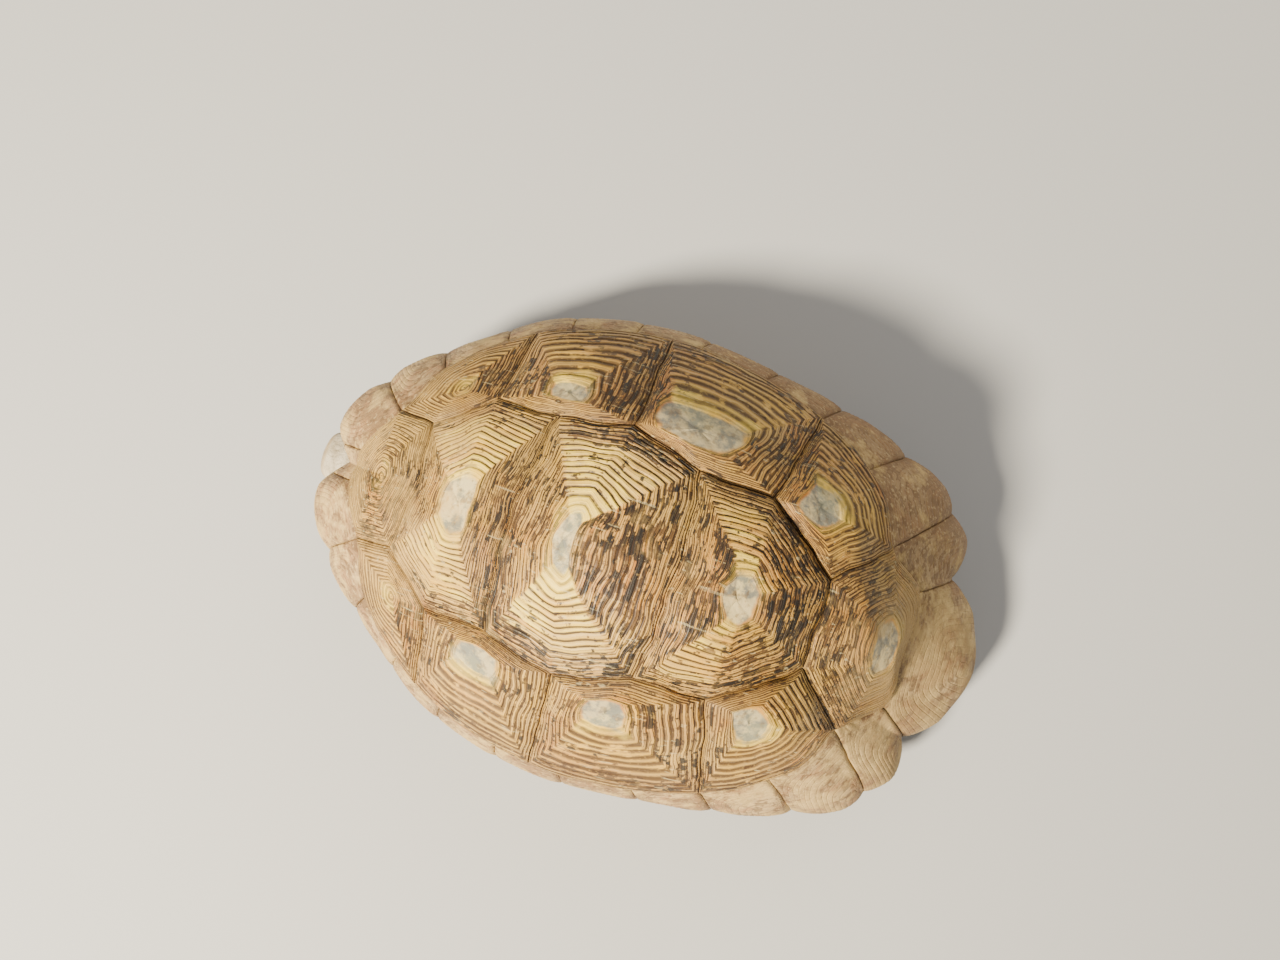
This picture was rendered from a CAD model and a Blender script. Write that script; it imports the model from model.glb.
"""Looks of a land tortoise: ringed horn plates, flared rim, plastron and one dry skin.

Metres, +Z up. The head points along -Y, the tail along +Y, and the animal's left
side is +X. The shell is one domed form, given in plan by a reach and an angle: the
angle runs from 0 at the tail to 180 degrees at the head.
"""
import math
from itertools import compress

import bmesh
import bpy
import numpy as np
from mathutils import Matrix, Vector, noise
from mathutils.bvhtree import BVHTree


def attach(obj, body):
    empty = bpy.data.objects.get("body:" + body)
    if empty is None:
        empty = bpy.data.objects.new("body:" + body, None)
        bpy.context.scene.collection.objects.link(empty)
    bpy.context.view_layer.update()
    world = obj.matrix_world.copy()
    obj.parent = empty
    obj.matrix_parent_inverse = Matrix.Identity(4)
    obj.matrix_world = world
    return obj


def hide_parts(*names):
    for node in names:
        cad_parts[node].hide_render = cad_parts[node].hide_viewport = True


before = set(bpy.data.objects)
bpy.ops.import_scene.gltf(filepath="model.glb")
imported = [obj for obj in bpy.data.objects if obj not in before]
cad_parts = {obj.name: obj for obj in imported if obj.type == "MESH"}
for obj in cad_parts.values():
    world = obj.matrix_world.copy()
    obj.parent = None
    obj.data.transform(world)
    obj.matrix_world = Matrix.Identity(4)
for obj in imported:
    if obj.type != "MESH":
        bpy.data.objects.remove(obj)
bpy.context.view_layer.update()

# ---- the form of the shell, as in the CAD
HALF_WIDTH = 0.0725
HALF_LENGTH = 0.105
CROWN = 0.105              # height of the dome
SNOUT = -0.1114            # how far forward the head comes
SEAM = 0.00014             # gap between two plates
PLATE = 0.0025             # thickness of a plate of the dome
FLOOR_PLATE = 0.0030       # thickness of a plate of the plastron
# By angle: the reach of the rim, its height, and the reach of the costal plates' feet.
RIM_REACH = ((0, 1.061), (14, 1.035), (26, 1.05), (42, 1.085), (58, 1.03), (78, 0.985),
             (100, 1.013), (120, 1.01), (135, 0.972), (157, 0.99), (168, 1.0), (180, 0.975))
RIM_HEIGHT = ((0, 0.017), (25, 0.019), (45, 0.022), (65, 0.026), (90, 0.028),
              (115, 0.030), (140, 0.035), (165, 0.041), (180, 0.043))
COSTAL_LINE = ((0, 0.716), (18, 0.765), (31.5, 0.69), (44, 0.75), (56, 0.80), (68, 0.838),
               (99, 0.900), (124, 0.900), (145, 0.858), (161, 0.803), (176, 0.846), (180, 0.846))
# Notches in the rim: angle, depth as a share of the reach, half of the width in degrees.
NOTCHES = ((180, 0.065, 8), (22.5, 0.075, 9), (38, 0.028, 6), (52, 0.022, 5), (66, 0.012, 5),
           (157, 0.018, 5), (143, 0.010, 5))
DOME_END = 1.45            # roundness of the dome along the midline
DOME_SIDE = 1.72           # and across it
FLARE = 0.10               # how far the rim flares over the tail
FLANK_FLARE = 0.05         # and along the flanks
# Angles of the rim's seams at the edge and at the top, and of the costal plates' seams.
RIM_SEAMS = (176.5, 157, 143, 129, 116, 104, 92, 79, 66, 52, 38, 22.5)
INNER_SEAMS = (176.2, 161.1, 146, 131, 118, 106, 94, 81, 67.9, 53, 31.5, 18)
COSTAL_FEET = (161.1, 124.3, 99.2, 67.9, 31.5)

# Corners of the vertebral plates, as shares of the half width and the half length.
V1_SIDE = (0.2601, -0.7597)
V1_V2 = (0.24, -0.65)
V2_APEX = (0.405, -0.508)
V2_V3 = (0.397, -0.333)
V3_APEX = (0.45, -0.15)
V3_V4 = (0.363, 0.032)
V4_APEX = (0.362, 0.214)
V4_V5 = (0.165, 0.415)
V5_SIDE = (0.3605, 0.588)
SEAM_MIDDLES = (-0.625, -0.36, 0.044, 0.415)
# How a plate rises with its growth, from 0 at its seam to 1 at its old middle.
GROWTH_STEPS = ((0.0, 0.0), (0.08, 0.22), (0.36, 0.52), (0.68, 0.82), (1.0, 1.0))

# Half width of the plastron along the body; then where each of its plates starts, at the
# midline and at its edge.
PLASTRON_WIDTH = ((-0.0905, 0.012), (-0.085, 0.0205), (-0.076, 0.0265), (-0.066, 0.0315),
                  (-0.057, 0.0385), (-0.050, 0.049), (-0.0445, 0.0600), (-0.020, 0.0652),
                  (0.010, 0.0650), (0.036, 0.0612), (0.042, 0.0555), (0.049, 0.0455),
                  (0.058, 0.0365), (0.068, 0.0300), (0.081, 0.0225), (0.0895, 0.013))
PLASTRON_SEAMS = (("gular", -0.0885, -0.0905), ("humeral", -0.067, -0.081),
                  ("pectoral", -0.030, -0.044), ("abdominal", -0.014, -0.016),
                  ("femoral", 0.034, 0.039), ("anal", 0.060, 0.074), ("", 0.0815, 0.0895))

# Waves that keep seams and ridges from running dead straight: turns for each metre
# across and along, phase, and size.
WAVES = ((310, 140, 0.3, 0.00024), (-170, 260, 1.9, 0.00024), (420, -380, 4.1, 0.00013),
         (700, 420, 2.2, 0.00008), (-560, 760, 5.0, 0.00007))


def through(stops, at):
    """Smooth values at positions, through (position, value) stops."""
    places, values = np.array(stops, float).T
    slopes = np.zeros(len(places))
    slopes[1:-1] = (values[2:] - values[:-2]) / (places[2:] - places[:-2])
    at = np.clip(np.asarray(at, float), places[0], places[-1])
    i = np.clip(np.searchsorted(places, at, side="right") - 1, 0, len(places) - 2)
    span = places[i + 1] - places[i]
    t = (at - places[i]) / span
    rise = (3 - 2 * t) * t * t
    bend = slopes[i] * span * t * (1 - t) ** 2 - slopes[i + 1] * span * t * t * (1 - t)
    return values[i] + (values[i + 1] - values[i]) * rise + bend


def notch_depth(angle):
    depth = np.zeros(np.shape(angle))
    for middle, deep, half in NOTCHES:
        depth = depth + deep * np.maximum(0.0, 1 - np.abs(angle - middle) / half) ** 1.5
    return depth


def rim_reach(angle):
    return through(RIM_REACH, angle) - notch_depth(angle)


def at_reach(reach, angle):
    """Plan points at a reach and an angle, on the animal's left."""
    turn = np.radians(angle)
    return np.stack([HALF_WIDTH * reach * np.sin(turn), HALF_LENGTH * reach * np.cos(turn)], -1)


def share_of_rim(plan):
    """0 at the middle of the shell, 1 at its rim, and the angle of each point."""
    across = np.abs(plan[..., 0]) / HALF_WIDTH
    along = plan[..., 1] / HALF_LENGTH
    angle = np.degrees(np.arctan2(across, along))
    reach = np.hypot(across, along)
    smooth = through(RIM_REACH, angle)
    nick = notch_depth(angle)
    share = reach / smooth
    for _ in range(4):
        share = reach / (smooth - nick * np.minimum(share, 1.0) ** 6)
    return np.minimum(share, 0.9995), angle


def dome_height(plan):
    share, angle = share_of_rim(plan)
    tail = np.maximum(np.cos(np.radians(angle)), 0.0)
    side = np.sin(np.radians(angle)) ** 2
    power = DOME_END + (DOME_SIDE - DOME_END) * side
    swell = (1 - share ** power) ** (1 / power)
    flare = FLARE * tail ** 1.5 + FLANK_FLARE * side
    hollow = flare * np.sin(np.pi * np.maximum(2 * share - 1, 0.0))
    base = through(RIM_HEIGHT, angle)
    return base + (CROWN - base) * (swell - hollow)


def dome_normal(plan):
    """Outward direction of the shell, read a little inside the rim. d is half a step."""
    reach = np.hypot(plan[..., 0] / HALF_WIDTH, plan[..., 1] / HALF_LENGTH)
    angle = np.degrees(np.arctan2(np.abs(plan[..., 0]) / HALF_WIDTH, plan[..., 1] / HALF_LENGTH))
    inside = np.minimum(1.0, 0.95 * rim_reach(angle) / np.maximum(reach, 0.001))
    plan = plan * inside[..., None]
    d = 0.0008
    slope_x = (dome_height(plan + (d, 0)) - dome_height(plan - (d, 0))) / (2 * d)
    slope_y = (dome_height(plan + (0, d)) - dome_height(plan - (0, d))) / (2 * d)
    normal = np.stack([-slope_x, -slope_y, np.ones_like(slope_x)], -1)
    return normal / np.linalg.norm(normal, axis=-1, keepdims=True)


def grown_unevenly(plan):
    """Shift plan points a little, less towards the rim."""
    share, _ = share_of_rim(plan)
    held = 1 - share ** 4
    moved = plan.copy()
    for across, along, phase, size in WAVES:
        turn = across * plan[..., 0] + along * plan[..., 1] + phase
        moved[..., 0] += size * np.sin(turn) * held
        moved[..., 1] += size * np.cos(turn * 1.3) * held
    return moved


def on_dome(plan, lift=0.0):
    place = np.concatenate([plan, dome_height(plan)[..., None]], -1)
    return place + dome_normal(plan) * np.asarray(lift)[..., None]


# ---- making pieces
WELD = 0.000004            # points nearer than this are one


def as_mesh(bm, name):
    mesh = bpy.data.meshes.new(name)
    bm.to_mesh(mesh)
    bm.free()
    return mesh


def in_scene(name, data):
    made = bpy.data.objects.new(name, data)
    bpy.context.scene.collection.objects.link(made)
    return made


def corners(verts):
    return np.array([vert.co for vert in verts])


def add_to(whole, bm, turn=None):
    """Add one form to another, moved by a matrix if there is one."""
    mesh = as_mesh(bm, "part")
    if turn is not None:
        mesh.transform(turn)
    whole.from_mesh(mesh)
    bpy.data.meshes.remove(mesh)


def grid_of(columns, rows):
    """A flat grid, and the column and row of each of its corners."""
    bm = bmesh.new()
    bmesh.ops.create_grid(bm, x_segments=columns, y_segments=rows, size=0.5)
    at = corners(bm.verts) + 0.5
    across = np.rint(at[:, 0] * columns).astype(int)
    along = np.rint(at[:, 1] * rows).astype(int)
    return bm, across, along


def place(bm, points):
    for vert, point in zip(bm.verts, points):
        vert.co = point


def mark(bm, name, values):
    """Keep three numbers on each corner for the finish to read."""
    layer = bm.verts.layers.float_vector.new(name)
    for vert, value in zip(bm.verts, values):
        vert[layer] = value


def weld(bm, dist=WELD):
    bmesh.ops.remove_doubles(bm, verts=bm.verts, dist=dist)


def face_out(bm):
    bmesh.ops.recalc_face_normals(bm, faces=bm.faces)


def finish_piece(bm, name, finish, stands_for=(), sharp=None):
    """Weld, face outwards, and ride on the body."""
    weld(bm)
    face_out(bm)
    if bm.calc_volume(signed=True) < 0:
        bmesh.ops.reverse_faces(bm, faces=bm.faces)
    mesh = as_mesh(bm, name)
    mesh.shade_smooth()
    if sharp:
        mesh.set_sharp_from_angle(angle=math.radians(sharp))
    mesh.materials.append(finish)
    piece = in_scene(name, mesh)
    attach(piece, "root")
    if stands_for:
        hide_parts(*stands_for)
    return piece


# ---- finishes
class Wire:
    """A number on its way between two nodes; sums on it become Math nodes."""

    def __init__(self, finish, socket):
        self.finish = finish
        self.socket = socket

    def __add__(self, other):
        return self.finish.sum("ADD", self, other)

    def __sub__(self, other):
        return self.finish.sum("SUBTRACT", self, other)

    def __rsub__(self, other):
        return self.finish.sum("SUBTRACT", other, self)

    def __mul__(self, other):
        return self.finish.sum("MULTIPLY", self, other)

    __radd__ = __add__
    __rmul__ = __mul__


class Finish:
    """A material and short words for the nodes in it."""

    def __init__(self, name, roughness=0.5, specular=0.5):
        self.material = bpy.data.materials.new(name)
        self.material.use_nodes = True
        self.tree = self.material.node_tree
        self.shader = self.tree.nodes["Principled BSDF"]
        self.shader.inputs["Roughness"].default_value = roughness
        self.shader.inputs["Specular IOR Level"].default_value = specular
        self.place = self.node("ShaderNodeTexCoord", {}, {}, "Object")

    def node(self, kind, settings, sockets, out=0):
        made = self.tree.nodes.new(kind)
        for key, value in settings.items():
            setattr(made, key, value)
        for key, value in sockets.items():
            self.join(value, made.inputs[key])
        return Wire(self, made.outputs[out])

    def join(self, value, socket):
        if isinstance(value, Wire):
            self.tree.links.new(value.socket, socket)
        else:
            if socket.type == "RGBA" and len(value) == 3:
                value = (*value, 1.0)
            socket.default_value = value

    def sum(self, operation, *values):
        return self.node("ShaderNodeMath", {"operation": operation}, dict(enumerate(values)))

    def three(self, vector):
        """The three numbers of a vector."""
        split = self.node("ShaderNodeSeparateXYZ", {}, {0: vector}).socket.node
        return [Wire(self, out) for out in split.outputs]

    def kept(self, name):
        """Three numbers kept on the mesh."""
        return self.three(self.node("ShaderNodeAttribute", {"attribute_name": name}, {}, "Vector"))

    def mix(self, share, first, second):
        return self.node("ShaderNodeMix", {"data_type": "RGBA"}, {0: share, 6: first, 7: second}, 2)

    def layered(self, colour, *layers):
        """A colour with (share, colour) layers laid over it in turn."""
        for share, tint in layers:
            colour = self.mix(share, colour, tint)
        return colour

    def between(self, value, low, high):
        """0 up to low, 1 from high on, and a smooth rise between."""
        settings = {"interpolation_type": "SMOOTHSTEP"}
        return self.node("ShaderNodeMapRange", settings, {0: value, 1: low, 2: high})

    def noise(self, scale, detail=2.0, rough=0.5, turn=None, place=None):
        """Soft uneven values about 0.5, in another pattern for each value of turn."""
        sockets = {"Vector": place or self.place, "Scale": scale, "Detail": detail,
                   "Roughness": rough}
        if turn is None:
            return self.node("ShaderNodeTexNoise", {}, sockets)
        sockets["W"] = turn
        return self.node("ShaderNodeTexNoise", {"noise_dimensions": "4D"}, sockets)

    def spots(self, low, high, *noise):
        """1 where a noise is above high, 0 where it is below low."""
        return self.between(self.noise(*noise), low, high)

    def cells(self, scale):
        """Distance to the nearest edge of uneven cells."""
        sockets = {"Vector": self.place, "Scale": scale}
        return self.node("ShaderNodeTexVoronoi", {"feature": "DISTANCE_TO_EDGE"}, sockets, "Distance")

    def stretched(self, x, y, z, turn=0.0):
        sockets = {"Vector": self.place, "Scale": (x, y, z), "Rotation": (0.0, 0.0, turn)}
        return self.node("ShaderNodeMapping", {}, sockets)

    def done(self, colour, roughness=None, *bumps):
        """Each bump is (height, distance, strength)."""
        self.join(colour, self.shader.inputs["Base Color"])
        if roughness is not None:
            self.join(roughness, self.shader.inputs["Roughness"])
        under = {}
        for height, distance, strength in bumps:
            sockets = {"Height": height, "Distance": distance, "Strength": strength}
            under = {"Normal": self.node("ShaderNodeBump", {}, sockets | under)}
        if under:
            self.join(under["Normal"], self.shader.inputs["Normal"])
        return self.material


# Added to the ring count for each plate, so that no two plates share a pattern.
RINGS_APART = 20.0
FIRST_COSTAL = 6           # number of the first costal plate
LINES_TURN = 7.85          # turn of the fine lines' wave over one ring
CREAM = (0.94, 0.660, 0.075)
STRAW = (0.72, 0.400, 0.040)
WARM = (0.62, 0.300, 0.050)
TAN = (0.50, 0.305, 0.085)
ORANGE = (0.43, 0.145, 0.017)
BROWN = (0.105, 0.050, 0.016)
DARK = (0.016, 0.0125, 0.009)
VALLEY = (0.032, 0.015, 0.006)
WORN_BLUE = (0.175, 0.185, 0.15)
WORN_PALE = (0.60, 0.48, 0.24)
DUST = (0.62, 0.385, 0.110)
OLD_DUST = (0.43, 0.290, 0.130)


def ringed_horn():
    """Plates of the dome: growth rings, pale side fans, dark flecks, worn middles."""
    f = Finish("ringed_horn", specular=0.35)
    growth, ring, fan = f.kept("growth")
    behind = f.three(f.place)[1]
    part = f.sum("FRACT", ring)
    count = f.sum("FLOOR", ring)
    costal = f.between(ring, RINGS_APART * FIRST_COSTAL - 1.0, RINGS_APART * FIRST_COSTAL - 0.1)
    rear = f.between(behind, 0.044, 0.080)
    ring_zone = 1.0 - f.between(growth, 0.97, 1.03)

    broad = f.noise(38, 3)
    mottle = f.noise(120, 3, 0.6)
    patchy = f.noise(110, 4, 0.62)
    fleck = f.noise(290, 3, 0.6, turn=f.sum("FLOOR", ring * 2.0 + mottle * 1.2) * 1.73)
    streak = f.noise(70, 1.5, 0.5, turn=count * 3.17)
    drift, wobble, jitter = broad - 0.5, mottle - 0.5, fleck - 0.5

    # Horn is pale only in the side fans, and the youngest rings are brown all round.
    old = f.between(growth + wobble * 0.18, 0.14, 0.40)
    pale = fan * old + (1.0 - old) * 0.28
    young = costal * (0.42 - growth * 0.50)
    warm = f.mix(f.between(broad, 0.44, 0.60), STRAW, WARM)
    cream = f.mix(f.between(streak + (1.0 - fan) * 1.1 + young, 0.46, 0.76), CREAM, warm)
    brown = f.layered(f.mix(f.between(broad, 0.42, 0.60), TAN, ORANGE),
                      (f.between(streak, 0.44, 0.60) * 0.70, STRAW),
                      (f.spots(0.48, 0.58, 33, 3, 0.6) * 0.62, ORANGE))
    shade = f.between(part + jitter * 0.6, 0.20, 0.90) * ring_zone
    stain = f.between(f.noise(62, 4, 0.66) - growth * 0.16, 0.36, 0.50) * ring_zone
    colour = f.layered(f.mix(f.between(pale, 0.30, 0.78), brown, cream),
                       (shade * 0.55, TAN), (stain * 0.58, TAN))

    # Fine dark lines and broken dashes run along the rings of the brown fans, and bold
    # black patches lie across several rings.
    line = f.sum("ABSOLUTE", f.sum("SINE", ring * LINES_TURN + mottle * 5.0))
    fine = 1.0 - f.between(line, 0.05, 0.60)
    pigment = f.mix(f.between(mottle, 0.42, 0.58), DARK, BROWN)
    dash = fleck + drift * 0.40 + (0.5 - pale) * 0.14 - costal * 0.045
    dashes = f.between(dash, 0.515, 0.565) * ring_zone
    blot = f.noise(120, 2, 0.55, turn=count * 0.24) + jitter * 0.22
    blot = blot + drift * 0.32 - costal * 0.03 + (0.2 - pale) * 0.16
    ink = f.between(blot, 0.545, 0.575) * (1.0 - f.between(pale, 0.3, 0.7)) * ring_zone
    colour = f.layered(colour, (fine * (1.0 - f.between(pale, 0.45, 0.9)) * ring_zone * 0.80, BROWN),
                       (dashes * (0.93 - rear * 0.55), pigment), (ink * (0.94 - rear * 0.60), DARK))

    # Valleys between the rings hold dark dirt. The last plates are rubbed smooth and
    # olive round their middles.
    bold = costal * f.between(fan, 0.40, 0.70)
    uneven = part + wobble * 0.30
    rise = f.between(uneven, 0.06 + costal * 0.04 + bold * 0.08, 0.32 + costal * 0.10 + bold * 0.14)
    crest = rise * (1.0 - f.between(uneven, 0.76 - costal * 0.12 - bold * 0.18, 0.95 - bold * 0.06))
    worn_off = f.between(fleck * 0.5 + mottle * 0.5, 0.37, 0.46)
    valley = (1.0 - crest) * ring_zone * worn_off
    rubbed = rear * f.between(growth + wobble * 0.3, 0.30, 0.85) * ring_zone
    colour = f.layered(colour, (valley * (0.92 - rear * 0.42), f.mix(costal * 0.45, VALLEY, BROWN)),
                       (rubbed * 0.42, OLD_DUST))

    # Old middles are worn to blue-grey, with a pale halo. Seams are dark.
    worn = f.between(growth + wobble * 0.45 + (patchy - 0.5) * 0.35, 0.95, 1.14)
    blue = f.layered(f.mix(f.spots(0.42, 0.58, 170, 4, 0.66), WORN_BLUE, WORN_PALE),
                     (f.spots(0.52, 0.66, 420, 3, 0.6) * 0.55, BROWN), (costal * 0.28, WORN_BLUE))
    halo = f.between(growth + (patchy - 0.5) * 0.6, 0.84, 1.0) * (1.0 - worn) * ring_zone
    seam = 1.0 - f.between(growth + wobble * 0.02, 0.004, 0.035)
    colour = f.layered(colour, (worn * 0.92, blue), (halo * 0.45 * pale, CREAM), (seam * 0.55, BROWN))

    # Dust lies at the front and the rear.
    grit = f.noise(75, 4, 0.65) + (1.0 - f.between(behind, -0.086, -0.032)) * 0.20 + rear * 0.22
    dusty = f.between(grit, 0.55, 0.80) * (1.0 - valley * (0.6 - rear * 0.4))
    colour = f.layered(colour, (dusty * 0.68, f.mix(rear * 0.8, DUST, OLD_DUST)),
                       (f.spots(0.60, 0.74, 900, 2) * 0.30, DUST))
    for turn, where in ((0.6, broad), (-0.5, patchy)):
        scratch = f.noise(1150, 1, 0.4, place=f.stretched(1.0, 0.018, 1.0, turn=turn))
        scratch = f.between(scratch, 0.68, 0.73) * f.between(where, 0.45, 0.54)
        colour = f.mix(scratch * 0.42, colour, WORN_PALE)

    roughness = 0.42 + mottle * 0.16 + dusty * 0.22 + valley * 0.14 - worn * 0.04
    lines = fine * ring_zone * (1.0 - f.between(pale, 0.5, 1.0) * 0.7)
    return f.done(colour, roughness, (lines, 0.00022, 0.7), (f.noise(1500, 3, 0.6), 0.00012, 0.6),
                  (fleck, 0.0004, 0.5))


def rim_horn():
    """Plates along the rim: dusty brown horn with growth lines along two sides."""
    f = Finish("rim_horn_worn", specular=0.3)
    growth, ring, under = f.kept("growth")
    across, behind, _ = f.three(f.place)
    wave = f.noise(260, 4, 0.6)
    broad = f.noise(42, 4, 0.6)
    mottle = f.noise(150, 5, 0.66)
    drift, wobble = broad - 0.5, mottle - 0.5
    fleck = f.noise(300, 3, 0.6, turn=f.sum("FLOOR", ring) * 0.7)
    part = f.sum("FRACT", ring + (wave - 0.5) * 0.2)
    groove = 1.0 - f.between(part, 0.0, 0.22) * (1.0 - f.between(part, 0.88, 1.0))
    seam = 1.0 - f.between(growth + wobble * 0.10, 0.0, 0.16)
    colour = f.layered(
        f.mix(f.between(broad, 0.40, 0.60), (0.27, 0.160, 0.068), (0.50, 0.335, 0.150)),
        (f.between(mottle, 0.47, 0.60) * 0.70, (0.37, 0.195, 0.080)),
        (f.between(fleck + drift * 0.3, 0.50, 0.57) * 0.65, (0.125, 0.068, 0.028)),
        (groove * f.between(wave + wobble * 0.6, 0.42, 0.58) * 0.42, BROWN),
        (seam * 0.50, BROWN))

    # The right side is the least dusty, and earth has stained the rim over the tail.
    clean = f.between(behind, -0.045, 0.020) * (1.0 - f.between(across, -0.045, -0.005))
    rear = f.between(behind, 0.040, 0.080) * (1.0 - clean)
    dusty = f.between(f.noise(95, 5, 0.68) + rear * 0.06 - clean * 0.08, 0.45, 0.60)
    stained = f.between(behind + drift * 0.03, 0.062, 0.094) * f.between(mottle, 0.36, 0.56)
    belly = f.mix(f.between(mottle, 0.45, 0.62), (0.52, 0.38, 0.19), (0.24, 0.155, 0.08))
    colour = f.layered(
        colour, (clean * 0.55, (0.20, 0.110, 0.045)), (dusty * 0.62, (0.66, 0.458, 0.175)),
        (f.spots(0.56, 0.70, 850, 2) * 0.35, (0.74, 0.54, 0.25)),
        (stained * 0.40, (0.23, 0.125, 0.050)), (under, belly))
    return f.done(colour, 0.52 + mottle * 0.18 + dusty * 0.12, (1.0 - groove, 0.00016, 0.5),
                  (f.noise(1300, 3, 0.6), 0.00014, 0.6), (mottle, 0.0008, 0.55))


def plastron_horn():
    """Plates under the body: straw horn, dark old patches, fine lines and scuffs."""
    f = Finish("plastron_horn_worn", specular=0.4)
    growth, ring, _ = f.kept("growth")
    mottle = f.noise(110, 4, 0.6)
    groove = 1.0 - f.between(f.sum("FRACT", ring) + (mottle - 0.5) * 0.25, 0.0, 0.25)
    patch = f.between(growth + (f.noise(55, 4, 0.65) - 0.5) * 0.9, 0.42, 0.62)
    scuffs = f.between(f.noise(300, 3, 0.6, place=f.stretched(1.0, 0.12, 1.0)), 0.56, 0.64)
    seam = 1.0 - f.between(growth, 0.0, 0.06)
    colour = f.layered(
        f.mix(f.spots(0.35, 0.65, 45, 3), (0.58, 0.45, 0.24), (0.48, 0.34, 0.17)),
        (patch * 0.85, (0.085, 0.058, 0.035)), (groove * 0.35, (0.20, 0.13, 0.07)),
        (scuffs * 0.45, (0.62, 0.52, 0.35)), (seam * 0.7, VALLEY))
    return f.done(colour, 0.42 + mottle * 0.2, (1.0 - groove, 0.00012, 0.5),
                  (f.noise(900, 3, 0.6), 0.00012, 0.5))


def dry_skin():
    """Skin of head, neck, limbs and tail. Kept numbers: head, beak, dark folds."""
    f = Finish("dry_skin", specular=0.3)
    head, beak, dark = f.kept("flesh")
    mottle = f.noise(130, 4, 0.6)
    pebble = f.between(f.cells(900), 0.0, 0.16)
    gaps = 1.0 - f.between(f.cells(430), 0.0, 0.06)
    streak = f.noise(420, 4, 0.65, place=f.stretched(1.0, 1.0, 0.45))
    body = f.mix(f.between(mottle, 0.38, 0.62), (0.15, 0.115, 0.072), (0.33, 0.26, 0.165))
    body = f.mix((1.0 - pebble) * 0.6, body, (0.075, 0.055, 0.036))
    face = f.mix(f.between(mottle, 0.38, 0.64), (0.56, 0.48, 0.34), (0.34, 0.275, 0.175))
    face = f.mix(gaps * 0.35, face, (0.17, 0.135, 0.09))
    horn = f.mix(f.between(streak, 0.35, 0.68), (0.42, 0.31, 0.17), (0.27, 0.19, 0.10))
    dusty = f.spots(0.44, 0.70, 85, 4, 0.65)
    colour = f.layered(body, (head, face), (beak, horn), (dark, (0.055, 0.044, 0.034)),
                       (dusty * 0.45, (0.52, 0.415, 0.275)))
    pebble = pebble * (1.0 - head * 0.75) * (1.0 - beak)
    return f.done(colour, 0.58 + mottle * 0.16 - beak * 0.18, (pebble, 0.00028, 0.8),
                  (f.noise(2200, 2), 0.00006, 0.5))


def scale_horn():
    """Scales of the limbs: straw with a darker root, worn at the tip."""
    f = Finish("scale_horn", specular=0.35)
    tip, which, _ = f.kept("scale")
    mottle = f.noise(260, 3, 0.6)
    tone = f.between(which + (mottle - 0.5) * 0.5, 0.2, 0.8)
    colour = f.layered(
        f.mix(tone, (0.40, 0.285, 0.125), (0.25, 0.175, 0.080)),
        ((1.0 - f.between(tip, 0.05, 0.60)) * 0.70, (0.10, 0.072, 0.040)),
        (f.spots(0.45, 0.7, 120, 4, 0.65) * 0.40, (0.50, 0.39, 0.23)))
    return f.done(colour, 0.48 + mottle * 0.2, (f.noise(1400, 3), 0.0001, 0.5))


def claw_horn():
    """Claws: dark horn streaked along, worn pale in places."""
    f = Finish("claw_horn", specular=0.4)
    streak = f.noise(420, 3, 0.6, place=f.stretched(1.0, 1.0, 3.0))
    colour = f.mix(f.between(streak, 0.38, 0.64), (0.12, 0.09, 0.06), (0.30, 0.235, 0.15))
    colour = f.mix(f.spots(0.5, 0.7, 160, 3) * 0.4, colour, (0.50, 0.41, 0.29))
    return f.done(colour, 0.40 + streak * 0.2, (streak, 0.00015, 0.5))


def dark_eye():
    """Near-black eye with a brown iris."""
    f = Finish("dark_eye", roughness=0.06, specular=0.6)
    out = f.kept("iris")[0]
    iris = f.mix(f.spots(0.4, 0.65, 1800, 3), (0.030, 0.016, 0.008), (0.085, 0.046, 0.020))
    colour = f.mix(f.between(out, 0.42, 0.52), (0.004, 0.003, 0.003), iris)
    colour = f.mix(f.between(out, 0.80, 0.98), colour, (0.02, 0.014, 0.010))
    f.shader.inputs["Coat Weight"].default_value = 0.6
    return f.done(colour)


# ---- horn plates of the dome
COLUMN = 0.00125           # width of the mesh along a plate's edge
RINGS = 17                 # growth rings on each middle plate
COSTAL_RINGS = 11
RIM_RINGS = 14
# Height of a ridge over one ring, and how far out the mesh's rows lie on the underside
# and on the worn middle.
RING_RISE = ((0.0, 0.0), (0.10, 0.62), (0.26, 1.0), (0.52, 0.96), (0.78, 0.80), (0.92, 0.46),
             (1.0, 0.0))
UNDER_PARTS = (0.0, 0.35, 1.03)
WORN_PARTS = (0.0, 0.10, 0.25, 0.45, 0.65, 0.85, 1.0)
RIDGE = 0.34               # height of a ridge for the width of its ring
RIDGE_LIMITS = (0.00010, 0.00062)
RIDGE_SUNK = 0.75          # how much of a ridge lies below the dome's own surface
SEAM_SLOPE = 0.00075       # width over which a groove fades out
WORN_DIP = 0.00022         # hollow of a worn middle
WORN_PITS = 0.00006


def plan_of(corner, side=1):
    return np.array([corner[0] * HALF_WIDTH * side, corner[1] * HALF_LENGTH])


def straight(start, end, bow=None):
    """Points of a seam, bent through a middle point if one is given."""
    t = np.linspace(0, 1, 25)[:, None]
    line = start + (end - start) * t
    if bow is not None:
        line = line + (bow - (start + end) / 2) * (4 * t * (1 - t))
    return line


def costal_line(start, end, side=1):
    angles = np.linspace(start, end, 40)
    return at_reach(through(COSTAL_LINE, angles), angles) * (side, 1)


def mirrored(line):
    return line[::-1] * (-1, 1)


def evenly(line, count):
    """So many even steps along a line, its last point left out."""
    steps = np.linalg.norm(np.diff(line, axis=0), axis=1)
    run = np.concatenate([[0], np.cumsum(steps)])
    at = np.linspace(0, run[-1], count + 1)[:-1]
    return np.stack([np.interp(at, run, line[:, k]) for k in (0, 1)], -1)


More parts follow.
